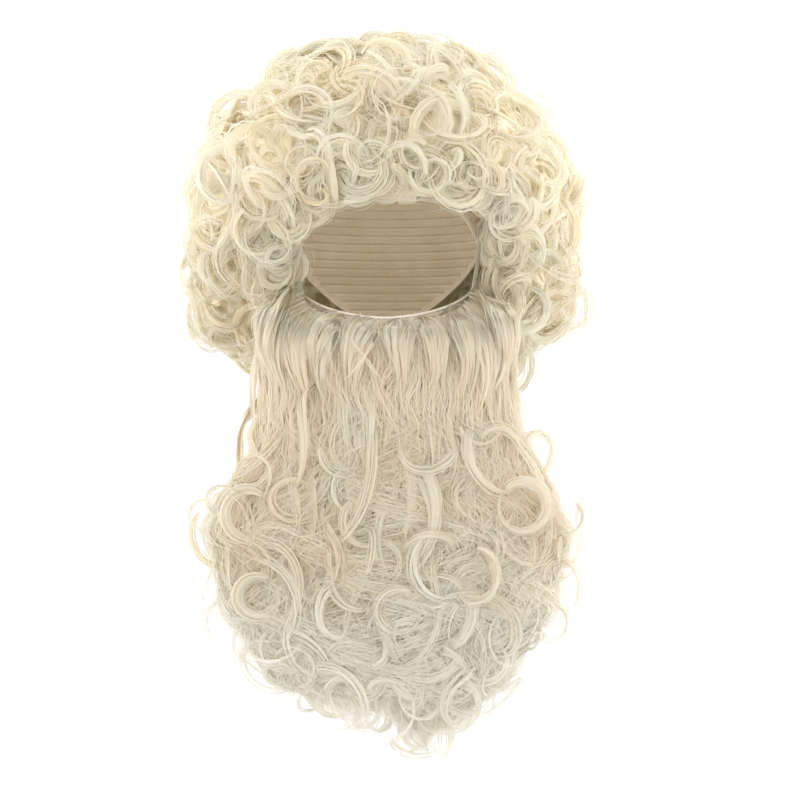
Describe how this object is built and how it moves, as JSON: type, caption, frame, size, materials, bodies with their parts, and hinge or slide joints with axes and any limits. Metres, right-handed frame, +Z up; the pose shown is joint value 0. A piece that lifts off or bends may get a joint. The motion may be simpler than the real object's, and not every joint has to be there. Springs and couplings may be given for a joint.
{
  "type": "wizard wig with beard",
  "caption": "Full curly pale blond costume wig on a close cap, with a long curly beard on a lace foundation joined to it by straps at the temples.",
  "frame": {"origin": "top of the wearer's head, on the inside of the cap, where the cap seats", "axes": "+Z up along the wearer's head, the face opening looks along -Y, +X to the right as seen from in front"},
  "size_m": [0.2774, 0.3157, 0.5159],
  "materials": {
    "wig_hair": "satin synthetic fibre, pale ivory blond",
    "beard_hair": "satin synthetic fibre, pale ivory blond, slightly greyer",
    "cap_cloth": "matt knitted cloth",
    "lace_net": "fine pale net",
    "edge_binding": "smooth pale binding",
    "elastic": "clear elastic"
  },
  "bodies": {
    "root": {"wig_cap": "cap_cloth", "crown_curls": "wig_hair", "fringe_curls": "wig_hair", "side_curls_left": "wig_hair", "side_curls_right": "wig_hair", "back_curls": "wig_hair", "beard_lace": "lace_net", "lace_edge_binding": "edge_binding", "strap_left": "elastic", "strap_right": "elastic", "moustache_fall": "beard_hair", "cheek_locks_left": "beard_hair", "cheek_locks_right": "beard_hair", "beard_fall": "beard_hair", "beard_curls": "beard_hair"}
  },
  "joints": []
}
